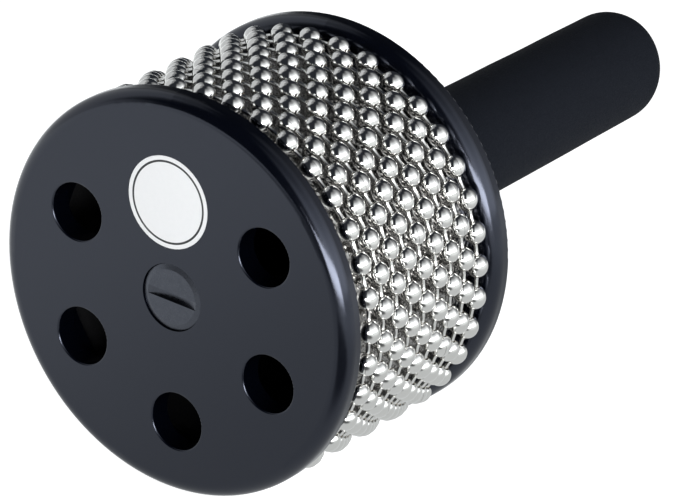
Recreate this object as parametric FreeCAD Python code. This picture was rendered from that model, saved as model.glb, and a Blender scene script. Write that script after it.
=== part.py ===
"""Hand-held cabasa: two round end plates on a hollow drum, loops of ball chain, a foam-covered handle.

Millimetres. The drum's axis runs along Y and is level, the drilled front plate faces -Y and the handle
points to +Y. The loops hang on the drum, a little below its plates, and their lowest balls touch z = 0.
The origin is under the middle of the whole length.
"""

import FreeCAD, Part
import math
import os

from FreeCAD import Vector

# ---- driving dimensions ------------------------------------------------------------------------------

plate_radius = 57.15          # both end plates, 4 1/2 in across
plate_thickness = 6.7
plate_shoulder = 4.0          # rounding of each plate's forward edge
plate_back_edge = 0.5         # rounding of each plate's rear edge
plate_turn = 1.75             # degrees that the front plate is turned from upright

sound_hole_radius = 8.15
sound_hole_rim = 0.5          # rounding of the holes' mouths
sound_hole_margin = 0.55      # plate left between a hole and the spigot
face_places = 6               # evenly spaced places round the front plate
label_place = 1               # the place, counted from +X, that holds the label and no hole

label_radius = 13.0
label_thickness = 0.25
label_centre = 27.0           # from the drum's axis to the label's middle
label_gap = 0.1               # round the label in its recess
label_sink = 0.05             # from the plate's face down to the label

chain_rows = 9
ball_radius = 3.05
ball_wall = 0.35
ball_inset = 0.6              # from the plates' rim in to the outermost point of a topmost ball
ball_play = 0.25              # between the topmost balls and the drum
chain_sag = 0.65              # from the drum's axis down to the middle of the loops that hang on it
row_gap = 0.14                # between neighbouring loops
front_gap = 4.65              # from the front plate to the first loop
rear_gap = 0.91               # from the last loop to the rear plate
link_gap = 3.35               # bare link between two balls, measured round the loop
link_hole_radius = 0.9
link_pin_radius = 0.65
link_head_radius = 1.25
link_head_length = 0.5
link_head_taper = 0.35
link_head_play = 0.15         # between a link's head and the wall of its ball
row_phase = -0.6              # degrees from +X to a ball of the first loop
row_creep = 1.8               # degrees that the last loop has crept round against the first

shell_thickness = 0.5
shell_seam = 0.5              # butt joint of the rolled sheet, on the underside
shell_end_gap = 0.1
glue_gap = 0.1                # adhesive film between the sheet and the core
core_thickness = 3.0
spigot_thickness = 2.0
spigot_length = 4.0
spigot_gap = 0.1

hub_radius = 9.0
bolt_radius = 4.0
bolt_hole_gap = 0.3
bolt_head_radius = 9.4
bolt_head_flat_radius = 7.8
bolt_head_thickness = 2.6
bolt_head_bevel = 0.45        # axial depth of the bevel round the head
bolt_head_sink = 0.05         # from the plate's face down to the head
bolt_head_gap = 0.2           # round the head in its counterbore
bolt_tip_chamfer = 0.8
slot_width = 2.4
slot_depth = 1.6
slot_half_length = 8.0        # the slot's curved floor runs out here
slot_angle = -5.5             # degrees from +X
washer_radius = 8.6
washer_thickness = 0.8
washer_gap = 0.2              # round the bolt

insert_radius = 5.6
insert_length = 16.0
insert_sink = 1.0             # from the handle core's root face down to the insert
insert_gap = 0.05
insert_thread_gap = 0.1
insert_groove = 0.5           # depth of the grooves between the knurled bands
insert_bands = 3

grip_length = 145.6           # from the rear plate to the end of the foam
grip_radius = 16.6
grip_corner = 8.0             # rounding of the foam's end
grip_crown = 1.2              # how far the foam's end domes beyond its corner
grip_end_wall = 6.0
grip_core_gap = 0.1

handle_core_radius = 11.0
handle_core_corner = 3.0
key_across_flats = 17.0       # hexagonal tenon that keeps the handle from turning
key_length = 3.0
key_gap = 0.1
key_end_gap = 0.2

# ---- places that follow from them --------------------------------------------------------------------

drum_length = front_gap + chain_rows * 2 * ball_radius + (chain_rows - 1) * row_gap + rear_gap
overall_length = 2 * plate_thickness + drum_length + grip_length

front_face = -overall_length / 2
drum_front = front_face + plate_thickness
drum_rear = drum_front + drum_length
rear_face = drum_rear + plate_thickness
grip_end = rear_face + grip_length
hub_meeting = (drum_front + drum_rear) / 2

chain_radius = plate_radius - ball_inset - ball_radius + chain_sag
axis_height = max(plate_radius, chain_sag + chain_radius + ball_radius)
balls_per_loop = round(2 * math.pi * chain_radius / (2 * ball_radius + link_gap))
ball_step = 360.0 / balls_per_loop
row_pitch = 2 * ball_radius + row_gap

shell_radius = chain_radius - ball_radius - chain_sag - ball_play
core_radius = shell_radius - shell_thickness - glue_gap
core_bore = core_radius - core_thickness
spigot_radius = core_bore - spigot_gap
spigot_bore = spigot_radius - spigot_thickness
sound_hole_circle = spigot_bore - sound_hole_margin - sound_hole_radius

bolt_bore = bolt_radius + bolt_hole_gap
head_back = front_face + bolt_head_sink + bolt_head_thickness
counterbore_floor = head_back + washer_thickness
key_floor = rear_face - key_length - key_end_gap
insert_start = rear_face + insert_sink
bolt_end = insert_start + insert_length - bolt_tip_chamfer
core_end = grip_end - grip_end_wall - grip_core_gap


# ---- helpers -----------------------------------------------------------------------------------------

def on_axis(y):
    """The point of the drum's axis at y."""
    return Vector(0, y, axis_height)


def around(angle, radius, y):
    """A point beside the drum's axis; the angle runs from +X up towards +Z."""
    turn = math.radians(angle)
    return Vector(radius * math.cos(turn), y, axis_height + radius * math.sin(turn))


def turned(edges):
    """A solid turned about the drum's axis from a closed outline, drawn as (radius, y) in the XY plane."""
    solid = Part.Face(Part.Wire(edges)).revolve(Vector(0, 0, 0), Vector(0, 1, 0), 360)
    solid.translate(Vector(0, 0, axis_height))
    return solid


def outline(points):
    """Straight edges through (radius, y) points, closed."""
    corners = [Vector(radius, y, 0) for radius, y in points]
    return [Part.makeLine(a, b) for a, b in zip(corners, corners[1:] + corners[:1])]


def rod(radius, start, end):
    """A round bar on the drum's axis."""
    return Part.makeCylinder(radius, end - start, on_axis(start), Vector(0, 1, 0))


def tube(outer, inner, start, end):
    return rod(outer, start, end).cut(rod(inner, start, end))


def disc_at(angle, distance, radius, start, thickness):
    """A short bar beside the drum's axis and parallel to it."""
    return Part.makeCylinder(radius, thickness, around(angle, distance, start), Vector(0, 1, 0))


def rounded(solid, radius, y, size):
    """Rounds the circular edges of that radius at y, whichever axis they go round."""
    edges = [
        e for e in solid.Edges
        if isinstance(e.Curve, Part.Circle)
        and abs(e.Curve.Radius - radius) < 1e-6 and abs(e.Curve.Center.y - y) < 1e-6
    ]
    return solid.makeFillet(size, edges)


def hexagon(across_flats, start, end):
    """A six-sided bar on the drum's axis."""
    corner = across_flats / math.sqrt(3)
    points = [around(60 * k, corner, start) for k in range(7)]
    return Part.Face(Part.makePolygon(points)).extrude(Vector(0, end - start, 0))


def loop_of(solid, phase):
    """The solid, made beside +X, repeated round the drum once for each ball, in a loop that hangs."""
    copies = []
    for k in range(balls_per_loop):
        copy = solid.copy()
        copy.rotate(on_axis(0), Vector(0, 1, 0), -(phase + k * ball_step))
        copies.append(copy)
    loop = Part.makeCompound(copies)
    loop.translate(Vector(0, 0, -chain_sag))
    return loop


# ---- end plates --------------------------------------------------------------------------------------

def plate(start, spigot_end, hub_end):
    """A round plate with a rounded forward edge; its spigot and its hub reach to the two ends given."""
    back = start + plate_thickness
    body = rod(plate_radius, start, back)
    body = rounded(body, plate_radius, start, plate_shoulder)
    body = rounded(body, plate_radius, back, plate_back_edge)
    towards_drum = back if hub_end > start else start
    low, high = sorted((towards_drum, spigot_end))
    body = body.fuse(tube(spigot_radius, spigot_bore, low, high))
    low, high = sorted((towards_drum, hub_end))
    return body.fuse(rod(hub_radius, low, high)).removeSplitter()


def place_angle(place):
    """Degrees from +X to one of the places round the front plate."""
    return (place + 0.5) * 360 / face_places + plate_turn


def front_plate():
    body = plate(front_face, drum_front + spigot_length, hub_meeting)
    body = body.cut(rod(bolt_bore, front_face, hub_meeting))
    body = body.cut(rod(bolt_head_radius + bolt_head_gap, front_face, counterbore_floor))
    for place in range(face_places):
        angle = place_angle(place)
        if place == label_place:
            body = body.cut(disc_at(angle, label_centre, label_radius + label_gap,
                                    front_face, label_thickness + label_sink))
        else:
            body = body.cut(disc_at(angle, sound_hole_circle, sound_hole_radius,
                                    front_face, plate_thickness))
    return rounded(body, sound_hole_radius, front_face, sound_hole_rim)


def rear_plate():
    body = plate(drum_rear, drum_rear - spigot_length, hub_meeting)
    body = body.cut(rod(bolt_bore, hub_meeting, rear_face))
    return body.cut(hexagon(key_across_flats + 2 * key_gap, key_floor, rear_face))


def front_label():
    return disc_at(place_angle(label_place), label_centre, label_radius,
                   front_face + label_sink, label_thickness)


# ---- drum --------------------------------------------------------------------------------------------

def drum_core():
    return tube(core_radius, core_bore, drum_front, drum_rear)


def drum_shell():
    """Sheet rolled round the core, its two edges a narrow seam apart underneath."""
    start = drum_front + shell_end_gap
    end = drum_rear - shell_end_gap
    sheet = tube(shell_radius, shell_radius - shell_thickness, start, end)
    seam = Part.makeBox(shell_seam, end - start, shell_radius, Vector(-shell_seam / 2, start, 0))
    return sheet.cut(seam)


# ---- through bolt ------------------------------------------------------------------------------------

def centre_bolt():
    top = front_face + bolt_head_sink
    body = turned(outline([
        (0, top),
        (bolt_head_flat_radius, top),
        (bolt_head_radius, top + bolt_head_bevel),
        (bolt_head_radius, head_back),
        (bolt_radius, head_back),
        (bolt_radius, bolt_end - bolt_tip_chamfer),
        (bolt_radius - bolt_tip_chamfer, bolt_end),
        (0, bolt_end),
    ]))
    cutter_radius = (slot_half_length**2 + slot_depth**2) / (2 * slot_depth)
    cutter = Part.makeCylinder(cutter_radius, slot_width,
                               Vector(0, top + slot_depth - cutter_radius, axis_height - slot_width / 2),
                               Vector(0, 0, 1))
    cutter.rotate(on_axis(0), Vector(0, 1, 0), -slot_angle)
    return body.cut(cutter)


def bolt_washer():
    return tube(washer_radius, bolt_radius + washer_gap, head_back, counterbore_floor)


def threaded_insert():
    """Brass sleeve with knurled bands, drawn plain, and grooves between them."""
    end = insert_start + insert_length
    body = tube(insert_radius, bolt_radius + insert_thread_gap, insert_start, end)
    spacing = insert_length / (2 * insert_bands - 1)
    for band in range(insert_bands - 1):
        start = insert_start + (2 * band + 1) * spacing
        body = body.cut(tube(insert_radius, insert_radius - insert_groove, start, start + spacing))
    return body


# ---- handle ------------------------------------------------------------------------------------------

def handle_core():
    """Moulded bar with a six-sided tenon at its root and a blind bore for the insert and the bolt's tip."""
    body = rounded(rod(handle_core_radius, rear_face, core_end), handle_core_radius, core_end,
                   handle_core_corner)
    body = body.fuse(hexagon(key_across_flats, rear_face - key_length, rear_face))
    body = body.cut(rod(bolt_bore, rear_face - key_length, insert_start))
    return body.cut(rod(insert_radius + insert_gap, insert_start, insert_start + insert_length))


def foam_grip():
    """Soft sleeve, closed and domed at its far end."""
    corner_start = grip_end - grip_crown - grip_corner
    shoulder = grip_radius - grip_corner
    crown_radius = (shoulder**2 + grip_crown**2) / (2 * grip_crown)
    diagonal = grip_corner * math.sqrt(0.5)
    crown_mid = math.sqrt(crown_radius**2 - (shoulder / 2)**2) - crown_radius
    edges = [
        Part.makeLine(Vector(0, rear_face, 0), Vector(grip_radius, rear_face, 0)),
        Part.makeLine(Vector(grip_radius, rear_face, 0), Vector(grip_radius, corner_start, 0)),
        Part.Arc(Vector(grip_radius, corner_start, 0),
                 Vector(shoulder + diagonal, corner_start + diagonal, 0),
                 Vector(shoulder, grip_end - grip_crown, 0)).toShape(),
        Part.Arc(Vector(shoulder, grip_end - grip_crown, 0),
                 Vector(shoulder / 2, grip_end + crown_mid, 0),
                 Vector(0, grip_end, 0)).toShape(),
        Part.makeLine(Vector(0, grip_end, 0), Vector(0, rear_face, 0)),
    ]
    bore_radius = handle_core_radius + grip_core_gap
    bore = rod(bore_radius, rear_face, core_end + grip_core_gap)
    bore = rounded(bore, bore_radius, core_end + grip_core_gap, handle_core_corner)
    return turned(edges).cut(bore)


# ---- ball chain --------------------------------------------------------------------------------------

def chain_ball(y):
    """Hollow ball beside +X, with a hole towards each neighbour along the loop."""
    centre = around(0, chain_radius, y)
    ball = Part.makeSphere(ball_radius, centre).cut(Part.makeSphere(ball_radius - ball_wall, centre))
    lean = math.radians(ball_step / 2)
    for way in (1, -1):
        towards = Vector(-math.sin(lean), 0, way * math.cos(lean))
        ball = ball.cut(Part.makeCylinder(link_hole_radius, 2 * ball_radius, centre, towards))
    return ball


def chain_link(y):
    """Dumbbell from the ball beside +X to the next one up, with a head caught inside each ball."""
    wall = math.sqrt((ball_radius - ball_wall)**2 - link_hole_radius**2)
    chord = 2 * chain_radius * math.sin(math.radians(ball_step / 2))
    taper_end = chord / 2 - (wall - link_head_play)
    taper_start = taper_end + link_head_taper
    tip = taper_start + link_head_length
    half = [
        (link_head_radius, tip),
        (link_head_radius, taper_start),
        (link_pin_radius, taper_end),
    ]
    link = turned(outline([(0, -tip)] + [(radius, -along) for radius, along in half]
                          + half[::-1] + [(0, tip)]))
    link.rotate(on_axis(0), Vector(1, 0, 0), 90)
    lean = ball_step / 2
    link.rotate(on_axis(0), Vector(0, 1, 0), -lean)
    link.translate(around(lean, chain_radius * math.cos(math.radians(lean)), y) - on_axis(0))
    return link


def row_place(row):
    """(y, phase) of a loop: every other loop stands half a step round, and the last few have crept."""
    y = drum_front + front_gap + ball_radius + row * row_pitch
    creep = row_creep * (row / (chain_rows - 1))**4
    return y, row_phase + (row % 2) * ball_step / 2 + creep


# ---- all nodes ---------------------------------------------------------------------------------------

def main():
    nodes = {
        "front_plate": front_plate(),
        "rear_plate": rear_plate(),
        "front_label": front_label(),
        "drum_core": drum_core(),
        "drum_shell": drum_shell(),
        "centre_bolt": centre_bolt(),
        "bolt_washer": bolt_washer(),
        "threaded_insert": threaded_insert(),
        "handle_core": handle_core(),
        "foam_grip": foam_grip(),
    }
    for row in range(chain_rows):
        y, phase = row_place(row)
        nodes[f"chain_{row + 1}_balls"] = loop_of(chain_ball(y), phase)
        nodes[f"chain_{row + 1}_links"] = loop_of(chain_link(y), phase)

    os.makedirs("parts", exist_ok=True)
    for name, shape in nodes.items():
        shape.exportStep(f"parts/{name}.step")
        print(f"{name}: {len(shape.Solids)} solids, {shape.Volume:.1f} mm3, valid {shape.isValid()}")
    print(f"{balls_per_loop} balls in a loop, drum {drum_length:.2f}, overall {overall_length:.2f}")


main()
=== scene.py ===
"""The looks of a hand-held cabasa, built round its packed construction model.

Metres, in the construction model's frame: the drum's axis runs along Y and is level, the drilled front plate
faces -Y, the handle points to +Y, and the lowest balls of the hanging loops touch z = 0.
"""

import math

import bpy
import numpy as np
from mathutils import Matrix, Vector


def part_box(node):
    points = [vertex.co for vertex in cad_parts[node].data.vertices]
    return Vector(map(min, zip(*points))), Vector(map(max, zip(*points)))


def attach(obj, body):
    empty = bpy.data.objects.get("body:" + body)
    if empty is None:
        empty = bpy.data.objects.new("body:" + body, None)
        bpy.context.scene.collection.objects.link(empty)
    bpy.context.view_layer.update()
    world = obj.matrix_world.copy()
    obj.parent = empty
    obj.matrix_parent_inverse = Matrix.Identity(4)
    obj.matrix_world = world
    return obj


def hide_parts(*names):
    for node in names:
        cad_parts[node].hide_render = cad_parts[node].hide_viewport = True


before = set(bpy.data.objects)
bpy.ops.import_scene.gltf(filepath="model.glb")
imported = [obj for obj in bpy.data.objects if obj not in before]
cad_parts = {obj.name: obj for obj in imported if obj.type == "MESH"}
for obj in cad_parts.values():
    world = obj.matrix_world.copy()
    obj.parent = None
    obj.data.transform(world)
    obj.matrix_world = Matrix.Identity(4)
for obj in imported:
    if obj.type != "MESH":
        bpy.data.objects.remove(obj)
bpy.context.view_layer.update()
mm = 0.001

# ---- sizes that the construction model gives -----------------------------------------------------

plate_low, plate_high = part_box("front_plate")
rear_low, rear_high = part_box("rear_plate")
drum_low, drum_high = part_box("drum_shell")
grip_low, grip_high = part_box("foam_grip")

plate_radius = (plate_high.x - plate_low.x) / 2
axis_height = (plate_high.z + plate_low.z) / 2  # of the drum; the loops hang a little lower
front_face = plate_low.y
rear_face = rear_high.y
grip_end = grip_high.y
shell_radius = (drum_high.x - drum_low.x) / 2

# ---- sizes of the modelled pieces ----------------------------------------------------------------

loops = 9
balls_per_loop = 36
ball_step = 2 * math.pi / balls_per_loop
ball_radius = 3.05 * mm
ball_half_length = 3.38 * mm  # the balls are a little long towards their necks
chain_radius = 54.15 * mm
neck_foot = 1.14 * mm         # radius at which a ball turns out into its neck
neck_radius = 0.92 * mm
neck_reach = 0.16 * mm        # how far the neck stands out beyond the ball's round
neck_hole = 0.74 * mm
neck_depth = 0.45 * mm        # how far the neck's bore is modelled inwards
pleats = 7                    # shallow folds round each neck
pleat_depth = 0.05 * mm
pin_waist = 0.56 * mm
pin_end = 0.72 * mm
ball_wander = 0.07 * mm       # how far a ball strays from its place
bead_segments = 28
pin_segments = 16

label_ring_inner = 11.2 * mm  # the thin printed ring
label_ring_outer = 11.8 * mm
label_ring_blur = 0.05 * mm
bolt_ring_pitch = 0.28 * mm   # turning marks on the bolt's head

shell_cell = 1.75 * mm        # size of the sheet's embossed pebbles
shell_emboss = 0.2 * mm
shell_step = 0.42 * mm        # spacing of the sheet's mesh
shell_seam = 0.5 * mm
shell_thickness = 0.5 * mm
pebble_jitter = 0.28          # share of a cell that a pebble strays
pebble_slope = 0.55           # share of a cell that a pebble's flank takes

foam_root_radius = 17.1 * mm
foam_end_radius = 16.2 * mm
foam_corner = 8.0 * mm
foam_crown = 1.6 * mm
foam_lean_x = 0.055           # slope of the foam's cut end towards +X
foam_lean_z = 0.134           # and upwards
foam_swell = 0.012 * mm       # height of each of the skin's slow waves
foam_waves = 24
foam_segments = 128


# ---- mesh helpers --------------------------------------------------------------------------------

def mesh_object(name, points, faces, smooth=True):
    mesh = bpy.data.meshes.new(name)
    mesh.from_pydata([tuple(p) for p in points], [], [tuple(int(i) for i in f) for f in faces])
    mesh.validate()
    mesh.polygons.foreach_set("use_smooth", [smooth] * len(mesh.polygons))
    piece = bpy.data.objects.new(name, mesh)
    bpy.context.scene.collection.objects.link(piece)
    return piece


def grid_faces(rows, columns, closed):
    """Quads of a grid of points stored row by row; closed joins the last column to the first."""
    faces = []
    last = columns if closed else columns - 1
    for r in range(rows - 1):
        for c in range(last):
            n = (c + 1) % columns
            faces.append((r * columns + c, r * columns + n, (r + 1) * columns + n, (r + 1) * columns + c))
    return np.array(faces)


def paint(piece, material):
    piece.data.materials.clear()
    piece.data.materials.append(material)


def paint_node(node, material):
    """Gives a piece of the construction model its own finish."""
    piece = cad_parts[node]
    for place in piece.material_slots:
        place.material = material
    for polygon in piece.data.polygons:
        polygon.material_index = 0


# ---- material helpers ----------------------------------------------------------------------------

class Nodes:
    """Short ways to add nodes to a node tree."""

    def __init__(self, tree):
        self.tree = tree

    def node(self, kind, **settings):
        made = self.tree.nodes.new(kind)
        for name, value in settings.items():
            if name in made.bl_rna.properties:
                setattr(made, name, value)
            else:
                made.inputs[name].default_value = value
        return made

    def link(self, source, target):
        self.tree.links.new(source, target)

    def mapped(self, value, low, high, to_low, to_high, kind="LINEAR"):
        made = self.node("ShaderNodeMapRange", interpolation_type=kind)
        self.link(value, made.inputs["Value"])
        ends = {"From Min": low, "From Max": high, "To Min": to_low, "To Max": to_high}
        for socket, number in ends.items():
            made.inputs[socket].default_value = number
        return made.outputs["Result"]

    def eased(self, value, low, high, to_low=0, to_high=1):
        """Mapped with a smooth start and end."""
        return self.mapped(value, low, high, to_low, to_high, "SMOOTHSTEP")

    def math(self, operation, first, second=None):
        made = self.node("ShaderNodeMath", operation=operation)
        for socket, value in zip(made.inputs, (first, second)):
            if isinstance(value, (int, float)):
                socket.default_value = value
            elif value is not None:
                self.link(value, socket)
        return made.outputs["Value"]

    def length(self, x, y):
        return self.math("SQRT", self.math("ADD", self.math("POWER", x, 2.0), self.math("POWER", y, 2.0)))

    def blend(self, factor, first, second):
        """A colour between two, each a colour or another node's output."""
        made = self.node("ShaderNodeMix", data_type="RGBA")
        self.link(factor, made.inputs[0])
        for socket, value in ((made.inputs[6], first), (made.inputs[7], second)):
            if isinstance(value, tuple):
                socket.default_value = (*value, 1.0)
            else:
                self.link(value, socket)
        return made.outputs[2]


class Finish(Nodes):
    """A material on the Principled shader."""

    def __init__(self, name, **values):
        self.material = bpy.data.materials.new(name)
        self.material.use_nodes = True
        super().__init__(self.material.node_tree)
        self.shader = self.tree.nodes["Principled BSDF"]
        for socket, value in values.items():
            self.shader.inputs[socket.replace("_", " ")].default_value = value

    def place(self):
        return self.node("ShaderNodeTexCoord").outputs["Object"]

    def noise(self, scale, detail=3.0, roughness=0.5):
        made = self.node("ShaderNodeTexNoise", Scale=scale, Detail=detail, Roughness=roughness)
        self.link(self.place(), made.inputs["Vector"])
        return made.outputs["Fac"]

    def cells(self, scale):
        made = self.node("ShaderNodeTexVoronoi", feature="F1", Scale=scale)
        self.link(self.place(), made.inputs["Vector"])
        return made.outputs["Distance"]

    def bump(self, height, distance, strength=1.0, under=None):
        made = self.node("ShaderNodeBump", Distance=distance, Strength=strength)
        self.link(height, made.inputs["Height"])
        if under is not None:
            self.link(under, made.inputs["Normal"])
        return made.outputs["Normal"]

    def colour(self, value):
        self.link(value, self.shader.inputs["Base Color"])

    def roughness(self, value):
        self.link(value, self.shader.inputs["Roughness"])

    def normal(self, value):
        self.link(value, self.shader.inputs["Normal"])


# ---- finishes ------------------------------------------------------------------------------------

def plate_finish():
    """Black moulded plastic with a navy cast: satin, faintly mottled, with a very fine grain."""
    f = Finish("plate_plastic", Specular_IOR_Level=0.65, IOR=1.5)
    f.shader.inputs["Specular Tint"].default_value = (0.74, 0.80, 1.0, 1.0)
    mottle = f.noise(90, 4.0)
    f.colour(f.blend(mottle, (0.0004, 0.0007, 0.0020), (0.0008, 0.0012, 0.0030)))
    scuff = f.noise(650, 5.0, 0.65)
    f.roughness(f.mapped(scuff, 0.3, 0.7, 0.14, 0.19))
    grain = f.noise(5200, 2.0)
    f.normal(f.bump(grain, 0.00003, 0.3, f.bump(f.noise(260, 2.0), 0.0001, 0.08)))
    return f.material


def label_finish():
    """White vinyl with one thin plain ring near its edge."""
    f = Finish("label_vinyl", Specular_IOR_Level=0.5)
    low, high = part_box("front_label")
    middle = (low + high) / 2
    away = f.node("ShaderNodeVectorMath", operation="DISTANCE")
    f.link(f.place(), away.inputs[0])
    away.inputs[1].default_value = middle
    distance = away.outputs["Value"]
    blur = label_ring_blur
    ring = f.math("MULTIPLY",
                  f.eased(distance, label_ring_inner - blur, label_ring_inner + blur),
                  f.eased(distance, label_ring_outer - blur, label_ring_outer + blur, 1, 0))
    paper = f.blend(f.noise(900, 4.0), (0.79, 0.80, 0.805), (0.83, 0.835, 0.84))
    f.colour(f.blend(ring, paper, (0.015, 0.016, 0.018)))
    f.roughness(f.mapped(f.noise(1500, 3.0), 0.3, 0.7, 0.34, 0.46))
    f.normal(f.bump(f.noise(2500, 2.0), 0.00003, 0.3))
    return f.material


def nickel_finish():
    """Bright nickel plating with fine handling marks, duller in the folds round each neck."""
    f = Finish("chain_nickel", Metallic=1.0)
    coordinates = f.node("ShaderNodeUVMap", uv_map="ball").outputs["UV"]
    split = f.node("ShaderNodeSeparateXYZ")
    f.link(coordinates, split.inputs[0])
    around_ball, along_ball = split.outputs["X"], split.outputs["Y"]
    from_middle = f.math("ABSOLUTE", f.math("SUBTRACT", along_ball, 0.5))
    tarnish = f.math("MULTIPLY", f.eased(from_middle, 0.36, 0.48),
                     f.mapped(f.noise(700, 3.0), 0.35, 0.65, 0.3, 1))
    plating = f.blend(f.noise(120, 3.0), (0.695, 0.690, 0.672), (0.750, 0.744, 0.725))
    seam = f.eased(f.math("ABSOLUTE", f.math("SUBTRACT", around_ball, 0.5)), 0.0015, 0.004, 1, 0)
    worn = f.blend(tarnish, plating, (0.40, 0.36, 0.29))
    f.colour(f.blend(seam, worn, (0.16, 0.15, 0.14)))
    marks = f.noise(2600, 6.0, 0.7)
    f.roughness(f.math("ADD", f.mapped(marks, 0.35, 0.7, 0.03, 0.07), f.math("MULTIPLY", tarnish, 0.12)))
    f.normal(f.bump(f.noise(1400, 2.0), 0.00002, 0.25))
    return f.material


def steel_sheet_finish():
    """Stainless sheet, polished a little unevenly."""
    f = Finish("drum_sheet", Metallic=1.0)
    f.colour(f.blend(f.noise(420, 4.0), (0.25, 0.245, 0.24), (0.38, 0.37, 0.36)))
    f.roughness(f.mapped(f.noise(2200, 4.0), 0.3, 0.7, 0.08, 0.16))
    f.normal(f.bump(f.noise(2300, 3.0), 0.0001, 0.3))
    return f.material


def bolt_finish():
    """Dark steel with turning rings on the head."""
    f = Finish("bolt_steel", Metallic=1.0)
    split = f.node("ShaderNodeSeparateXYZ")
    f.link(f.place(), split.inputs[0])
    above = f.math("SUBTRACT", split.outputs["Z"], axis_height)
    radius = f.length(split.outputs["X"], above)
    rings = f.math("SINE", f.math("MULTIPLY", radius, 2 * math.pi / bolt_ring_pitch))
    f.colour(f.blend(f.noise(500, 4.0), (0.070, 0.076, 0.092), (0.095, 0.101, 0.120)))
    f.roughness(f.mapped(f.noise(1800, 5.0), 0.3, 0.7, 0.24, 0.38))
    f.normal(f.bump(rings, 0.00001, 0.25, f.bump(f.noise(3000, 3.0), 0.00003, 0.25)))
    return f.material


def hidden_plastic_finish(name, low, high):
    """Dull moulded plastic with a few pale specks of dust."""
    f = Finish(name, Specular_IOR_Level=0.3)
    dust = f.eased(f.cells(650), 0.05, 0.12, 1, 0)
    patchy = f.eased(f.noise(160, 3.0), 0.45, 0.65)
    plastic = f.blend(f.noise(300, 4.0), low, high)
    f.colour(f.blend(f.math("MULTIPLY", dust, patchy), plastic, (0.05, 0.05, 0.055)))
    f.roughness(f.mapped(f.noise(1200, 4.0), 0.3, 0.7, 0.5, 0.7))
    f.normal(f.bump(f.noise(2400, 3.0), 0.00005, 0.4))
    return f.material


def brass_finish():
    """Brass with a fine rough grain."""
    f = Finish("insert_brass", Metallic=1.0)
    f.colour(f.blend(f.noise(600, 3.0), (0.60, 0.42, 0.17), (0.76, 0.56, 0.26)))
    f.roughness(f.mapped(f.noise(1500, 4.0), 0.3, 0.7, 0.2, 0.34))
    f.normal(f.bump(f.cells(1400), 0.0002, 0.6))
    return f.material


def foam_finish():
    """Matte black closed-cell foam with a navy cast and fine open cells on its skin."""
    f = Finish("grip_foam", Specular_IOR_Level=0.12)
    cells = f.cells(2600)
    soft = f.noise(70, 3.0)
    skin = f.blend(soft, (0.0048, 0.0061, 0.0096), (0.0070, 0.0087, 0.0133))
    f.colour(f.blend(f.mapped(cells, 0.15, 0.6, 0, 0.5), skin, (0.0118, 0.0140, 0.0200)))
    f.roughness(f.mapped(f.noise(1900, 3.0), 0.3, 0.7, 0.74, 0.95))
    fine = f.bump(cells, 0.00018, 0.6)
    f.normal(f.bump(f.noise(420, 4.0), 0.0003, 0.3, fine))
    return f.material


# ---- ball chain ----------------------------------------------------------------------------------

def bead_profile():
    """(along, radius) from one neck's bore, over the ball, to the other neck's bore."""
    foot = math.asin(neck_foot / ball_radius)
    tip = ball_half_length * math.cos(foot) + neck_reach
    lip = 0.04 * mm
    half = [
        (tip - neck_depth, neck_hole),
        (tip - lip, neck_hole),
        (tip, (neck_hole + neck_radius) / 2),
        (tip - lip, neck_radius),
        (tip - 0.11 * mm, neck_radius + 0.03 * mm),
    ]
    steps = 8
    for k in range(steps + 1):
        polar = foot + (math.pi / 2 - foot) * k / steps
        half.append((ball_half_length * math.cos(polar), ball_radius * math.sin(polar)))
    return half + [(-along, radius) for along, radius in half[-2::-1]]


def pin_profile():
    """(along, radius) of the bare pin between two necks, with a slight flare into each."""
    chord = 2 * chain_radius * math.sin(ball_step / 2)
    reach = chord / 2 - ball_half_length * math.cos(math.asin(neck_foot / ball_radius)) + neck_depth * 0.5
    flare = 0.55 * mm
    return [(-reach, pin_end), (-reach + flare, (pin_end + pin_waist) / 2), (-reach + 1.6 * flare, pin_waist),
            (reach - 1.6 * flare, pin_waist), (reach - flare, (pin_end + pin_waist) / 2), (reach, pin_end)]


def turned_rows(profile, segments, fold=None):
    """Points of a profile turned about the local Z axis, row by row; fold(row, angle) adds to the radius."""
    angles = np.arange(segments) * 2 * math.pi / segments
    rows = []
    for row, (along, radius) in enumerate(profile):
        spread = radius + (fold(row, angles) if fold else 0.0)
        rows.append(np.stack([spread * np.cos(angles), spread * np.sin(angles), np.full(segments, along)], 1))
    return np.array(rows)


def ring_copies(rows, offset, random, wander):
    """Copies of a turned piece round the loop's middle, its local Z along the loop; offset is in balls."""
    points, flat = [], rows.reshape(-1, 3)
    for k in range(balls_per_loop):
        turn = (k + offset) * ball_step
        spin = random.uniform(0, 2 * math.pi)
        c, s = math.cos(spin), math.sin(spin)
        outward, along, side = flat[:, 0] * c - flat[:, 1] * s, flat[:, 2], flat[:, 0] * s + flat[:, 1] * c
        radius = chain_radius + outward + random.uniform(-wander, 0)
        points.append(np.stack([
            radius * math.cos(turn) - along * math.sin(turn),
            side + random.uniform(-wander, wander),
            radius * math.sin(turn) + along * math.cos(turn),
        ], 1))
    return np.concatenate(points)


def loop_object(name, rows, offset, random, wander):
    """One loop's beads or pins as one piece, with a UV map that runs round and along each of them."""
    count, segments = rows.shape[:2]
    points = ring_copies(rows, offset, random, wander)
    one = grid_faces(count, segments, True)
    faces = np.concatenate([one + k * count * segments for k in range(balls_per_loop)])
    piece = mesh_object(name, points, faces)
    layer = piece.data.uv_layers.new(name="ball")
    column = np.tile(np.stack([np.arange(segments), np.arange(segments) + 1,
                               np.arange(segments) + 1, np.arange(segments)], 1), (count - 1, 1))
    row = np.repeat(np.arange(count - 1), segments)[:, None] + np.array([0, 0, 1, 1])
    uv = np.stack([column / segments, row / (count - 1)], 2).reshape(-1, 2)
    layer.data.foreach_set("uv", np.tile(uv, (balls_per_loop, 1)).astype(np.float32).ravel())
    return piece


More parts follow.
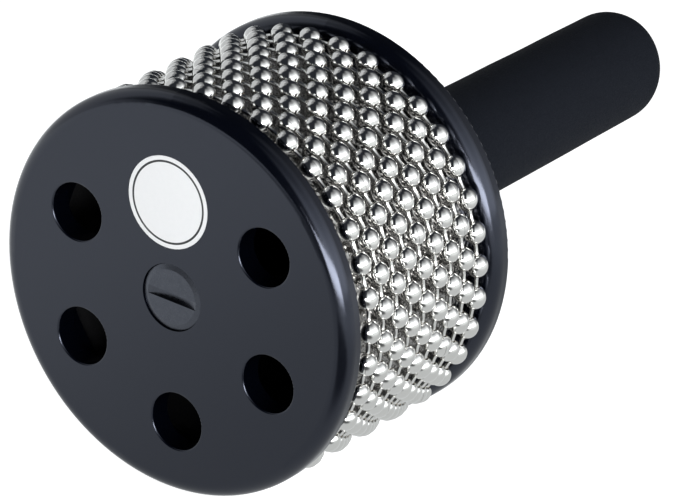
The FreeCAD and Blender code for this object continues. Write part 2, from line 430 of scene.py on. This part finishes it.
def loop_place(number):
    """(middle of a loop, angle from +X towards +Z of a ball), read from the construction model."""
    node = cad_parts[f"chain_{number}_balls"]
    low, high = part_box(f"chain_{number}_balls")
    middle = (low + high) / 2
    co = np.array([v.co for v in node.data.vertices])
    turns = np.arctan2(co[:, 2] - middle.z, co[:, 0] - middle.x)
    phase = np.angle(np.exp(1j * balls_per_loop * turns).sum()) / balls_per_loop
    return middle, phase


def chain_loops(material):
    """All the loops: beads with pleated necks, and the pins between them."""
    profile = bead_profile()
    neck_rows = 5
    folded = {*range(neck_rows), *range(len(profile) - neck_rows, len(profile))}
    beads = turned_rows(profile, bead_segments,
                        lambda row, angle: pleat_depth * np.cos(pleats * angle) * (row in folded))
    pins = turned_rows(pin_profile(), pin_segments)
    chord_share = math.cos(ball_step / 2)  # a pin lies on the chord between two balls
    for number in range(1, loops + 1):
        middle, phase = loop_place(number)
        to_loop = Matrix.Translation(middle) @ Matrix.Rotation(-phase, 4, "Y")
        random = np.random.default_rng(number)
        bead_piece = loop_object(f"chain_{number}_beads", beads, 0, random, ball_wander)
        pin_piece = loop_object(f"chain_{number}_pins", pins, 0.5, random, 0)
        pin_piece.data.transform(Matrix.Diagonal((chord_share, 1, chord_share, 1)))
        for piece, stands_for in ((bead_piece, "balls"), (pin_piece, "links")):
            piece.data.transform(to_loop)
            paint(piece, material)
            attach(piece, f"chain_{number}")
            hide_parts(f"chain_{number}_{stands_for}")


# ---- drum ----------------------------------------------------------------------------------------

def pebble_height(across, along, cell, random):
    """Smooth pebbles, staggered and jittered, that close round the drum; 0 is a valley and 1 a top."""
    columns = round(across.max() / cell)
    width = across.max() / columns
    lines = int(along.max() / cell) + 3
    jitter = random.uniform(-pebble_jitter, pebble_jitter, (lines, columns, 2))
    column, line = across / width, along / cell + 1
    nearest = np.full(across.shape, np.inf)
    second = nearest.copy()
    for dl in (-1, 0, 1, 2):
        for dc in (-1, 0, 1, 2):
            l = np.clip(np.floor(line).astype(int) + dl - 1, 0, lines - 1)
            c = np.floor(column).astype(int) + dc - 1
            wander = jitter[l, c % columns]
            away = np.hypot(column - (c + 0.5 * (l % 2) + wander[..., 0]), line - (l + wander[..., 1]))
            second = np.where(away < nearest, nearest, np.minimum(second, away))
            nearest = np.minimum(nearest, away)
    rise = np.clip((second - nearest) / pebble_slope, 0, 1)
    return rise * rise * (3 - 2 * rise) * (1 - 0.5 * nearest)


def drum_sheet(material):
    """The embossed steel sheet, rolled round the drum with its seam underneath and its edges turned in."""
    length = drum_high.y - drum_low.y
    girth = 2 * math.pi * shell_radius - shell_seam
    columns, rows = round(girth / shell_step), round(length / shell_step)
    across, along = np.meshgrid(np.linspace(0, girth, columns + 1), np.linspace(0, length, rows + 1))
    height = pebble_height(across, along, shell_cell, np.random.default_rng(5))
    radius = shell_radius - shell_emboss * (1 - height)
    angle = -math.pi / 2 + (across + shell_seam / 2) / shell_radius
    points = np.stack([radius * np.cos(angle), drum_low.y + along, axis_height + radius * np.sin(angle)], 2)
    rim = np.stack([(shell_radius - shell_thickness) * np.cos(angle), drum_low.y + along,
                    axis_height + (shell_radius - shell_thickness) * np.sin(angle)], 2)
    points = np.concatenate([rim[:1], points, rim[-1:]], 0)
    side = np.concatenate([rim[:1], rim, rim[-1:]], 0)
    points = np.concatenate([side[:, :1], points, side[:, -1:]], 1)
    piece = mesh_object("drum_sheet", points.reshape(-1, 3), grid_faces(*points.shape[:2], False)[:, ::-1])
    paint(piece, material)
    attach(piece, "root")
    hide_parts("drum_shell")


# ---- handle --------------------------------------------------------------------------------------

def foam_grip(material):
    """The foam sleeve: a slight taper, a domed end that leans a little, and a soft uneven skin."""
    straight = grip_end - rear_face - foam_corner - foam_crown
    shaft_rows, corner_rows, crown_rows = 150, 16, 8
    taper = foam_end_radius - foam_root_radius
    profile = []
    for k in range(shaft_rows + 1):
        profile.append((straight * k / shaft_rows, foam_root_radius + taper * k / shaft_rows))
    shoulder = foam_end_radius - foam_corner
    for k in range(1, corner_rows + 1):
        turn = math.pi / 2 * k / corner_rows
        profile.append((straight + foam_corner * math.sin(turn), shoulder + foam_corner * math.cos(turn)))
    for k in range(1, crown_rows + 1):
        share = 1 - k / crown_rows
        bulge = foam_crown * (1 - share**2)
        profile.append((straight + foam_corner + bulge, max(shoulder * share, 0.05 * mm)))
    angles = np.arange(foam_segments) * 2 * math.pi / foam_segments
    random = np.random.default_rng(11)
    waves = []
    for _ in range(foam_waves):
        rate, lobes, shift = random.uniform(40, 260), random.integers(1, 9), random.uniform(0, 6.28)
        waves.append((rate, lobes, shift))
    smooth_middle = 4 * mm  # the waves fade out towards the middle of the end
    rows = []
    for along, radius in profile:
        uneven = sum(math.sin(along * rate + shift) * np.cos(lobes * angles + shift)
                     for rate, lobes, shift in waves) * foam_swell
        r = radius + uneven * min(1, radius / smooth_middle)
        x, z = r * np.cos(angles), r * np.sin(angles)
        lean = np.clip((along - straight + foam_corner) / (2 * foam_corner), 0, 1)
        y = rear_face + along + lean * (foam_lean_x * x + foam_lean_z * z)
        rows.append(np.stack([x, y, axis_height + z], 1))
    points = np.array(rows)
    count = len(profile)
    faces = [tuple(f) for f in grid_faces(count, foam_segments, True)[:, ::-1]]
    faces.append(tuple(range((count - 1) * foam_segments, count * foam_segments)))
    piece = mesh_object("foam_sleeve", points.reshape(-1, 3), faces)
    paint(piece, material)
    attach(piece, "root")
    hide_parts("foam_grip")


# ---- studio --------------------------------------------------------------------------------------

def camera():
    """The photographed view: a long lens, a little above the drum and to its right."""
    azimuth, elevation = math.radians(35.7227), math.radians(22.7035)
    distance = 1.51908
    aside, above = -20.756 * mm, 0.308 * mm
    pixels_wide, focal_pixels, sensor = 676, 5623.06, 36.0
    back = Vector((math.sin(azimuth) * math.cos(elevation), -math.cos(azimuth) * math.cos(elevation),
                   math.sin(elevation)))
    right = (-back).cross(Vector((0, 0, 1))).normalized()
    up = right.cross(-back)
    target = Vector((0, front_face + 0.7 * plate_radius, axis_height))
    data = bpy.data.cameras.new("camera")
    data.sensor_width = sensor
    data.lens = focal_pixels / pixels_wide * sensor
    made = bpy.data.objects.new("camera", data)
    bpy.context.scene.collection.objects.link(made)
    made.location = target + back * distance - right * aside + up * above
    made.rotation_euler = (-back).to_track_quat("-Z", "Y").to_euler()
    bpy.context.scene.camera = made


def direction(azimuth, elevation):
    """Unit vector; azimuth 0 looks from the drum towards -Y and 90 towards +X."""
    a, e = math.radians(azimuth), math.radians(elevation)
    return Vector((math.sin(a) * math.cos(e), -math.cos(a) * math.cos(e), math.sin(e)))


def lamp(name, azimuth, elevation, distance, width, height, power):
    """A rectangular soft lamp that faces the front plate's right edge."""
    data = bpy.data.lights.new(name, "AREA")
    data.shape = "RECTANGLE"
    data.size, data.size_y, data.energy = width, height, power
    made = bpy.data.objects.new(name, data)
    bpy.context.scene.collection.objects.link(made)
    towards = direction(azimuth, elevation)
    made.location = Vector((plate_radius, front_face, axis_height)) + towards * distance
    made.rotation_euler = (-towards).to_track_quat("-Z", "Y").to_euler()


class Surroundings(Nodes):
    """The studio round the object, as soft-edged patches of brightness by direction."""

    def __init__(self, dark):
        world = bpy.data.worlds.new("studio")
        world.use_nodes = True
        bpy.context.scene.world = world
        super().__init__(world.node_tree)
        split = self.node("ShaderNodeSeparateXYZ")
        self.link(self.node("ShaderNodeTexCoord").outputs["Generated"], split.inputs[0])
        x, y, z = split.outputs
        degrees = 180 / math.pi
        self.azimuth = self.math("MULTIPLY", self.math("ARCTAN2", x, self.math("MULTIPLY", y, -1.0)), degrees)
        self.elevation = self.math("MULTIPLY", self.math("ARCSINE", z), degrees)
        self.colour = dark

    def band(self, value, low, high, low_edge, high_edge):
        """1 between low and high, falling to 0 across the two edges outside them."""
        return self.math("MULTIPLY", self.eased(value, low - low_edge, low),
                         self.eased(value, high, high + high_edge, 1, 0))

    def patch(self, colour, azimuths, elevations, edges):
        """Paints a colour over a span of azimuth and elevation; edges are (left, right, lower, upper)."""
        cover = self.math("MULTIPLY", self.band(self.azimuth, *azimuths, edges[0], edges[1]),
                          self.band(self.elevation, *elevations, edges[2], edges[3]))
        self.colour = self.blend(cover, self.colour, colour)

    def finish(self):
        """White to the camera, and the patches to everything else."""
        camera_ray = self.node("ShaderNodeLightPath").outputs["Is Camera Ray"]
        seen = self.blend(camera_ray, self.colour, (1.0, 1.0, 1.0))
        self.link(seen, self.tree.nodes["Background"].inputs["Color"])


def studio():
    """A dark room with a low key softbox, a wide panel on the right and a softbox on the left."""
    dark_room = (0.026, 0.029, 0.036)
    patches = {  # brightness, azimuths, elevations, soft edges
        "right_wall": ((0.36, 0.37, 0.38), (52, 146), (-90, 56), (30, 36, 10, 26)),
        "right_halo": ((1.05, 1.08, 1.11), (48, 112), (-90, 34), (22, 44, 10, 26)),
        "right_panel": ((2.6, 2.68, 2.76), (52, 100), (-90, 8), (26, 46, 10, 32)),
        "left_halo": ((0.30, 0.31, 0.32), (-132, -56), (-90, 66), (10, 12, 10, 10)),
        "left_softbox": ((0.68, 0.70, 0.72), (-118, -62), (-90, 50), (6, 6, 10, 10)),
        "left_low_card": ((0.75, 0.77, 0.79), (-132, -50), (-90, 6), (6, 14, 10, 14)),
    }
    room = Surroundings(dark_room)
    for patch in patches.values():
        room.patch(*patch)
    room.finish()
    lamp("key_softbox", azimuth=40, elevation=4.5, distance=0.5, width=0.49, height=0.15, power=2.95)


def painted_floor_glow(f):
    """Painted light and shade on the floor as it shows in reflections only: brightness painted by side, a
    painted dark round patch in front on the right, and painted dimming far away in front.
    """
    left_glow, middle_glow, right_extra = 1.12, 0.70, 0.42
    patch_x, patch_y, patch_half_x, patch_half_y = 0.110, front_face - 0.115, 0.066, 0.098
    painted_shade_level, far_loss = 0.2, 0.75
    split = f.node("ShaderNodeSeparateXYZ")
    f.link(f.place(), split.inputs[0])
    across, along = split.outputs["X"], split.outputs["Y"]
    # painted light in reflections: the floor shows brighter on the left and on the far right
    left = f.eased(across, -0.16, 0.02, left_glow, middle_glow)
    right = f.eased(across, 0.10, 0.30, 0, right_extra)
    away_x = f.math("DIVIDE", f.math("SUBTRACT", across, patch_x), patch_half_x)
    away_y = f.math("DIVIDE", f.math("SUBTRACT", along, patch_y), patch_half_y)
    # painted shade in reflections: a dark round patch in front on the right
    patch = f.eased(f.length(away_x, away_y), 0.75, 1.25, painted_shade_level, 1)
    # painted shade in reflections: dimmer far away in front
    far = f.eased(along, -0.50, -0.36, far_loss, 0)
    in_front = f.math("MULTIPLY", f.eased(across, -0.30, -0.16), f.eased(across, 0.25, 0.50, 1, 0))
    shade = f.math("MULTIPLY", patch, f.math("SUBTRACT", 1.0, f.math("MULTIPLY", far, in_front)))
    return f.math("MULTIPLY", f.math("ADD", left, right), shade)


def floor():
    """A floor, white to the camera round the object's soft shadow; in reflections it shows a painted glow,
    uneven by place, with a painted dark patch.
    """
    half, drop = 6.0, 0.05 * mm
    corners = [(-half, -half, -drop), (half, -half, -drop), (half, half, -drop), (-half, half, -drop)]
    piece = mesh_object("floor", corners, [(0, 1, 2, 3)], False)
    f = Finish("floor_white")
    matte = f.node("ShaderNodeBsdfDiffuse", Color=(0.6, 0.6, 0.6, 1))
    path = f.node("ShaderNodeLightPath")
    mirrored = f.math("MAXIMUM", path.outputs["Is Glossy Ray"], path.outputs["Is Transmission Ray"])
    painted_glow_strength = painted_floor_glow(f)
    plain = f.node("ShaderNodeEmission", Color=(1, 1, 1, 1))
    f.link(f.math("MULTIPLY", path.outputs["Is Camera Ray"], 0.88), plain.inputs["Strength"])
    # seen only by reflected rays: a painted reflection of the floor, uneven by place
    glow = f.node("ShaderNodeEmission", Color=(0.96, 0.99, 1.0, 1))
    f.link(painted_glow_strength, glow.inputs["Strength"])
    lit = f.node("ShaderNodeAddShader")
    f.link(matte.outputs[0], lit.inputs[0])
    f.link(plain.outputs[0], lit.inputs[1])
    both = f.node("ShaderNodeMixShader")
    f.link(mirrored, both.inputs[0])
    f.link(lit.outputs[0], both.inputs[1])
    f.link(glow.outputs[0], both.inputs[2])
    f.link(both.outputs[0], f.tree.nodes["Material Output"].inputs["Surface"])
    f.tree.nodes.remove(f.shader)
    paint(piece, f.material)


# ---- all pieces ----------------------------------------------------------------------------------


camera()
studio()
floor()

plate = plate_finish()
paint_node("front_plate", plate)
paint_node("rear_plate", plate)
paint_node("front_label", label_finish())
paint_node("drum_core", hidden_plastic_finish("core_plastic", (0.006, 0.006, 0.007), (0.012, 0.012, 0.013)))
steel = bolt_finish()
paint_node("centre_bolt", steel)
paint_node("bolt_washer", steel)
paint_node("threaded_insert", brass_finish())
paint_node("handle_core", hidden_plastic_finish("handle_plastic", (0.010, 0.010, 0.011), (0.02, 0.02, 0.021)))
chain_loops(nickel_finish())
drum_sheet(steel_sheet_finish())
foam_grip(foam_finish())

bpy.context.scene.view_settings.view_transform = "Standard"
